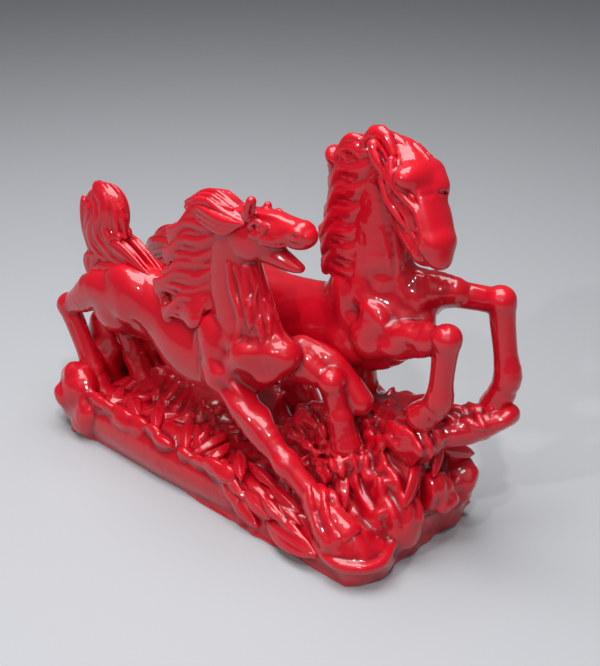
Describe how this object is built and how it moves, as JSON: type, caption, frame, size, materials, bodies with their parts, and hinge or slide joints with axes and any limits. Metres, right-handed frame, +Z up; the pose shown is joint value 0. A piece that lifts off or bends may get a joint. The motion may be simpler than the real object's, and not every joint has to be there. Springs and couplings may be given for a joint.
{
  "type": "galloping horse pair figurine",
  "caption": "Glossy red cast ornament: a pair of horses galloping side by side over a leafy, rocky hill with a flat underside to stand on.",
  "frame": {"origin": "on the flat underside of the hill, below the middle of the group", "axes": "+X the way the horses gallop, +Y to the horses' left, +Z up"},
  "size_m": [0.234, 0.0915, 0.1837],
  "materials": {
    "red_enamel": "thick glossy red enamel over cast resin",
    "pin_steel": "plain drawn steel"
  },
  "bodies": {
    "root": {"hill": "red_enamel", "rear_boulders": "red_enamel", "front_rock": "red_enamel", "hoof_shelf": "red_enamel", "right_hoof_rock": "red_enamel", "belly_post": "red_enamel", "front_rocks": "red_enamel", "far_rocks": "red_enamel", "near_leaves": "red_enamel", "corner_leaves": "red_enamel", "front_leaves": "red_enamel", "far_leaves": "red_enamel", "near_trunk": "red_enamel", "near_head": "red_enamel", "near_mane": "red_enamel", "near_forelock": "red_enamel", "near_tail": "red_enamel", "near_right_foreleg": "red_enamel", "near_left_foreleg": "red_enamel", "near_right_hindleg": "red_enamel", "near_left_hindleg": "red_enamel", "far_trunk": "red_enamel", "far_head": "red_enamel", "far_mane": "red_enamel", "far_forelock": "red_enamel", "far_tail": "red_enamel", "far_right_foreleg": "red_enamel", "far_left_foreleg": "red_enamel", "far_right_hindleg": "red_enamel", "far_left_hindleg": "red_enamel", "near_pins": "pin_steel", "far_pins": "pin_steel", "hoof_pins": "pin_steel"}
  },
  "joints": []
}
